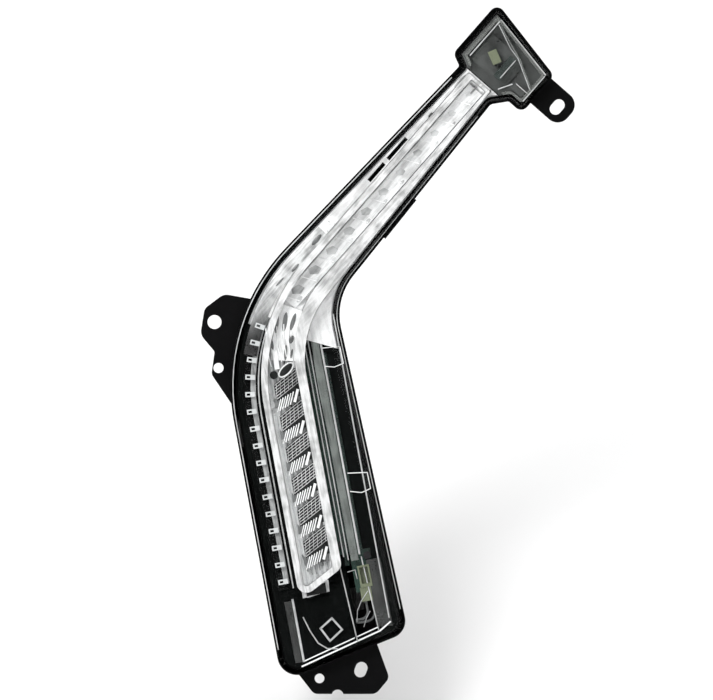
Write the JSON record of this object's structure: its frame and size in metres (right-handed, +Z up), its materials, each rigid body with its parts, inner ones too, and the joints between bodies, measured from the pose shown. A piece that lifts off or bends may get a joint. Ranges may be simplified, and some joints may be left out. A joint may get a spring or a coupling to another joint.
{
  "type": "daytime running light",
  "caption": "Bent daytime running light with a clear crowned lens, a light channel along its leg and arm, bright cells, a dark trim and a black housing with fixing ears.",
  "frame": {"origin": "axis of the large round hole in the side ear, in the plane of the ear's rear face", "axes": "+Z up as the lamp is shown, +X to the right as seen from the front, -Y out of the clear lens towards the viewer and along the fixing screws"},
  "size_m": [0.1868, 0.059, 0.3433],
  "materials": {
    "housing_black": "moulded satin",
    "lens_clear": "clear polished",
    "seal_rubber": "matt",
    "plate_aluminium": "satin",
    "board_green": "satin",
    "light_chip": "satin",
    "bright_metal": "vacuum coated",
    "optic_clear": "clear with a light haze",
    "trim_black": "satin",
    "strip_clear": "clear polished",
    "connector_beige": "matt",
    "plug_black": "matt",
    "chip_black": "matt",
    "wire_jacket": "satin",
    "pin_metal": "tinned",
    "screw_steel": "zinc plated",
    "frame_white": "satin, translucent"
  },
  "bodies": {
    "root": {"rear_housing": "housing_black", "outer_lens": "lens_clear", "lens_seal": "seal_rubber", "heat_spreader": "plate_aluminium", "leg_led_board": "board_green", "arm_led_board": "board_green", "leg_leds": "light_chip", "arm_leds": "light_chip", "leg_reflector": "bright_metal", "arm_reflector": "bright_metal", "inner_optic": "optic_clear", "lower_bezel": "trim_black", "edge_strip": "strip_clear", "panel_clips": "strip_clear", "driver_board": "board_green", "driver_parts": "chip_black", "board_header": "connector_beige", "harness_plug": "connector_beige", "supply_wires": "wire_jacket", "rear_socket": "plug_black", "terminal_pins": "pin_metal", "socket_seal": "seal_rubber", "vent_cap": "plug_black", "board_screws": "screw_steel", "head_tray": "trim_black", "head_frame": "frame_white", "head_board": "board_green", "head_connector": "connector_beige", "head_prism": "strip_clear"}
  },
  "joints": []
}
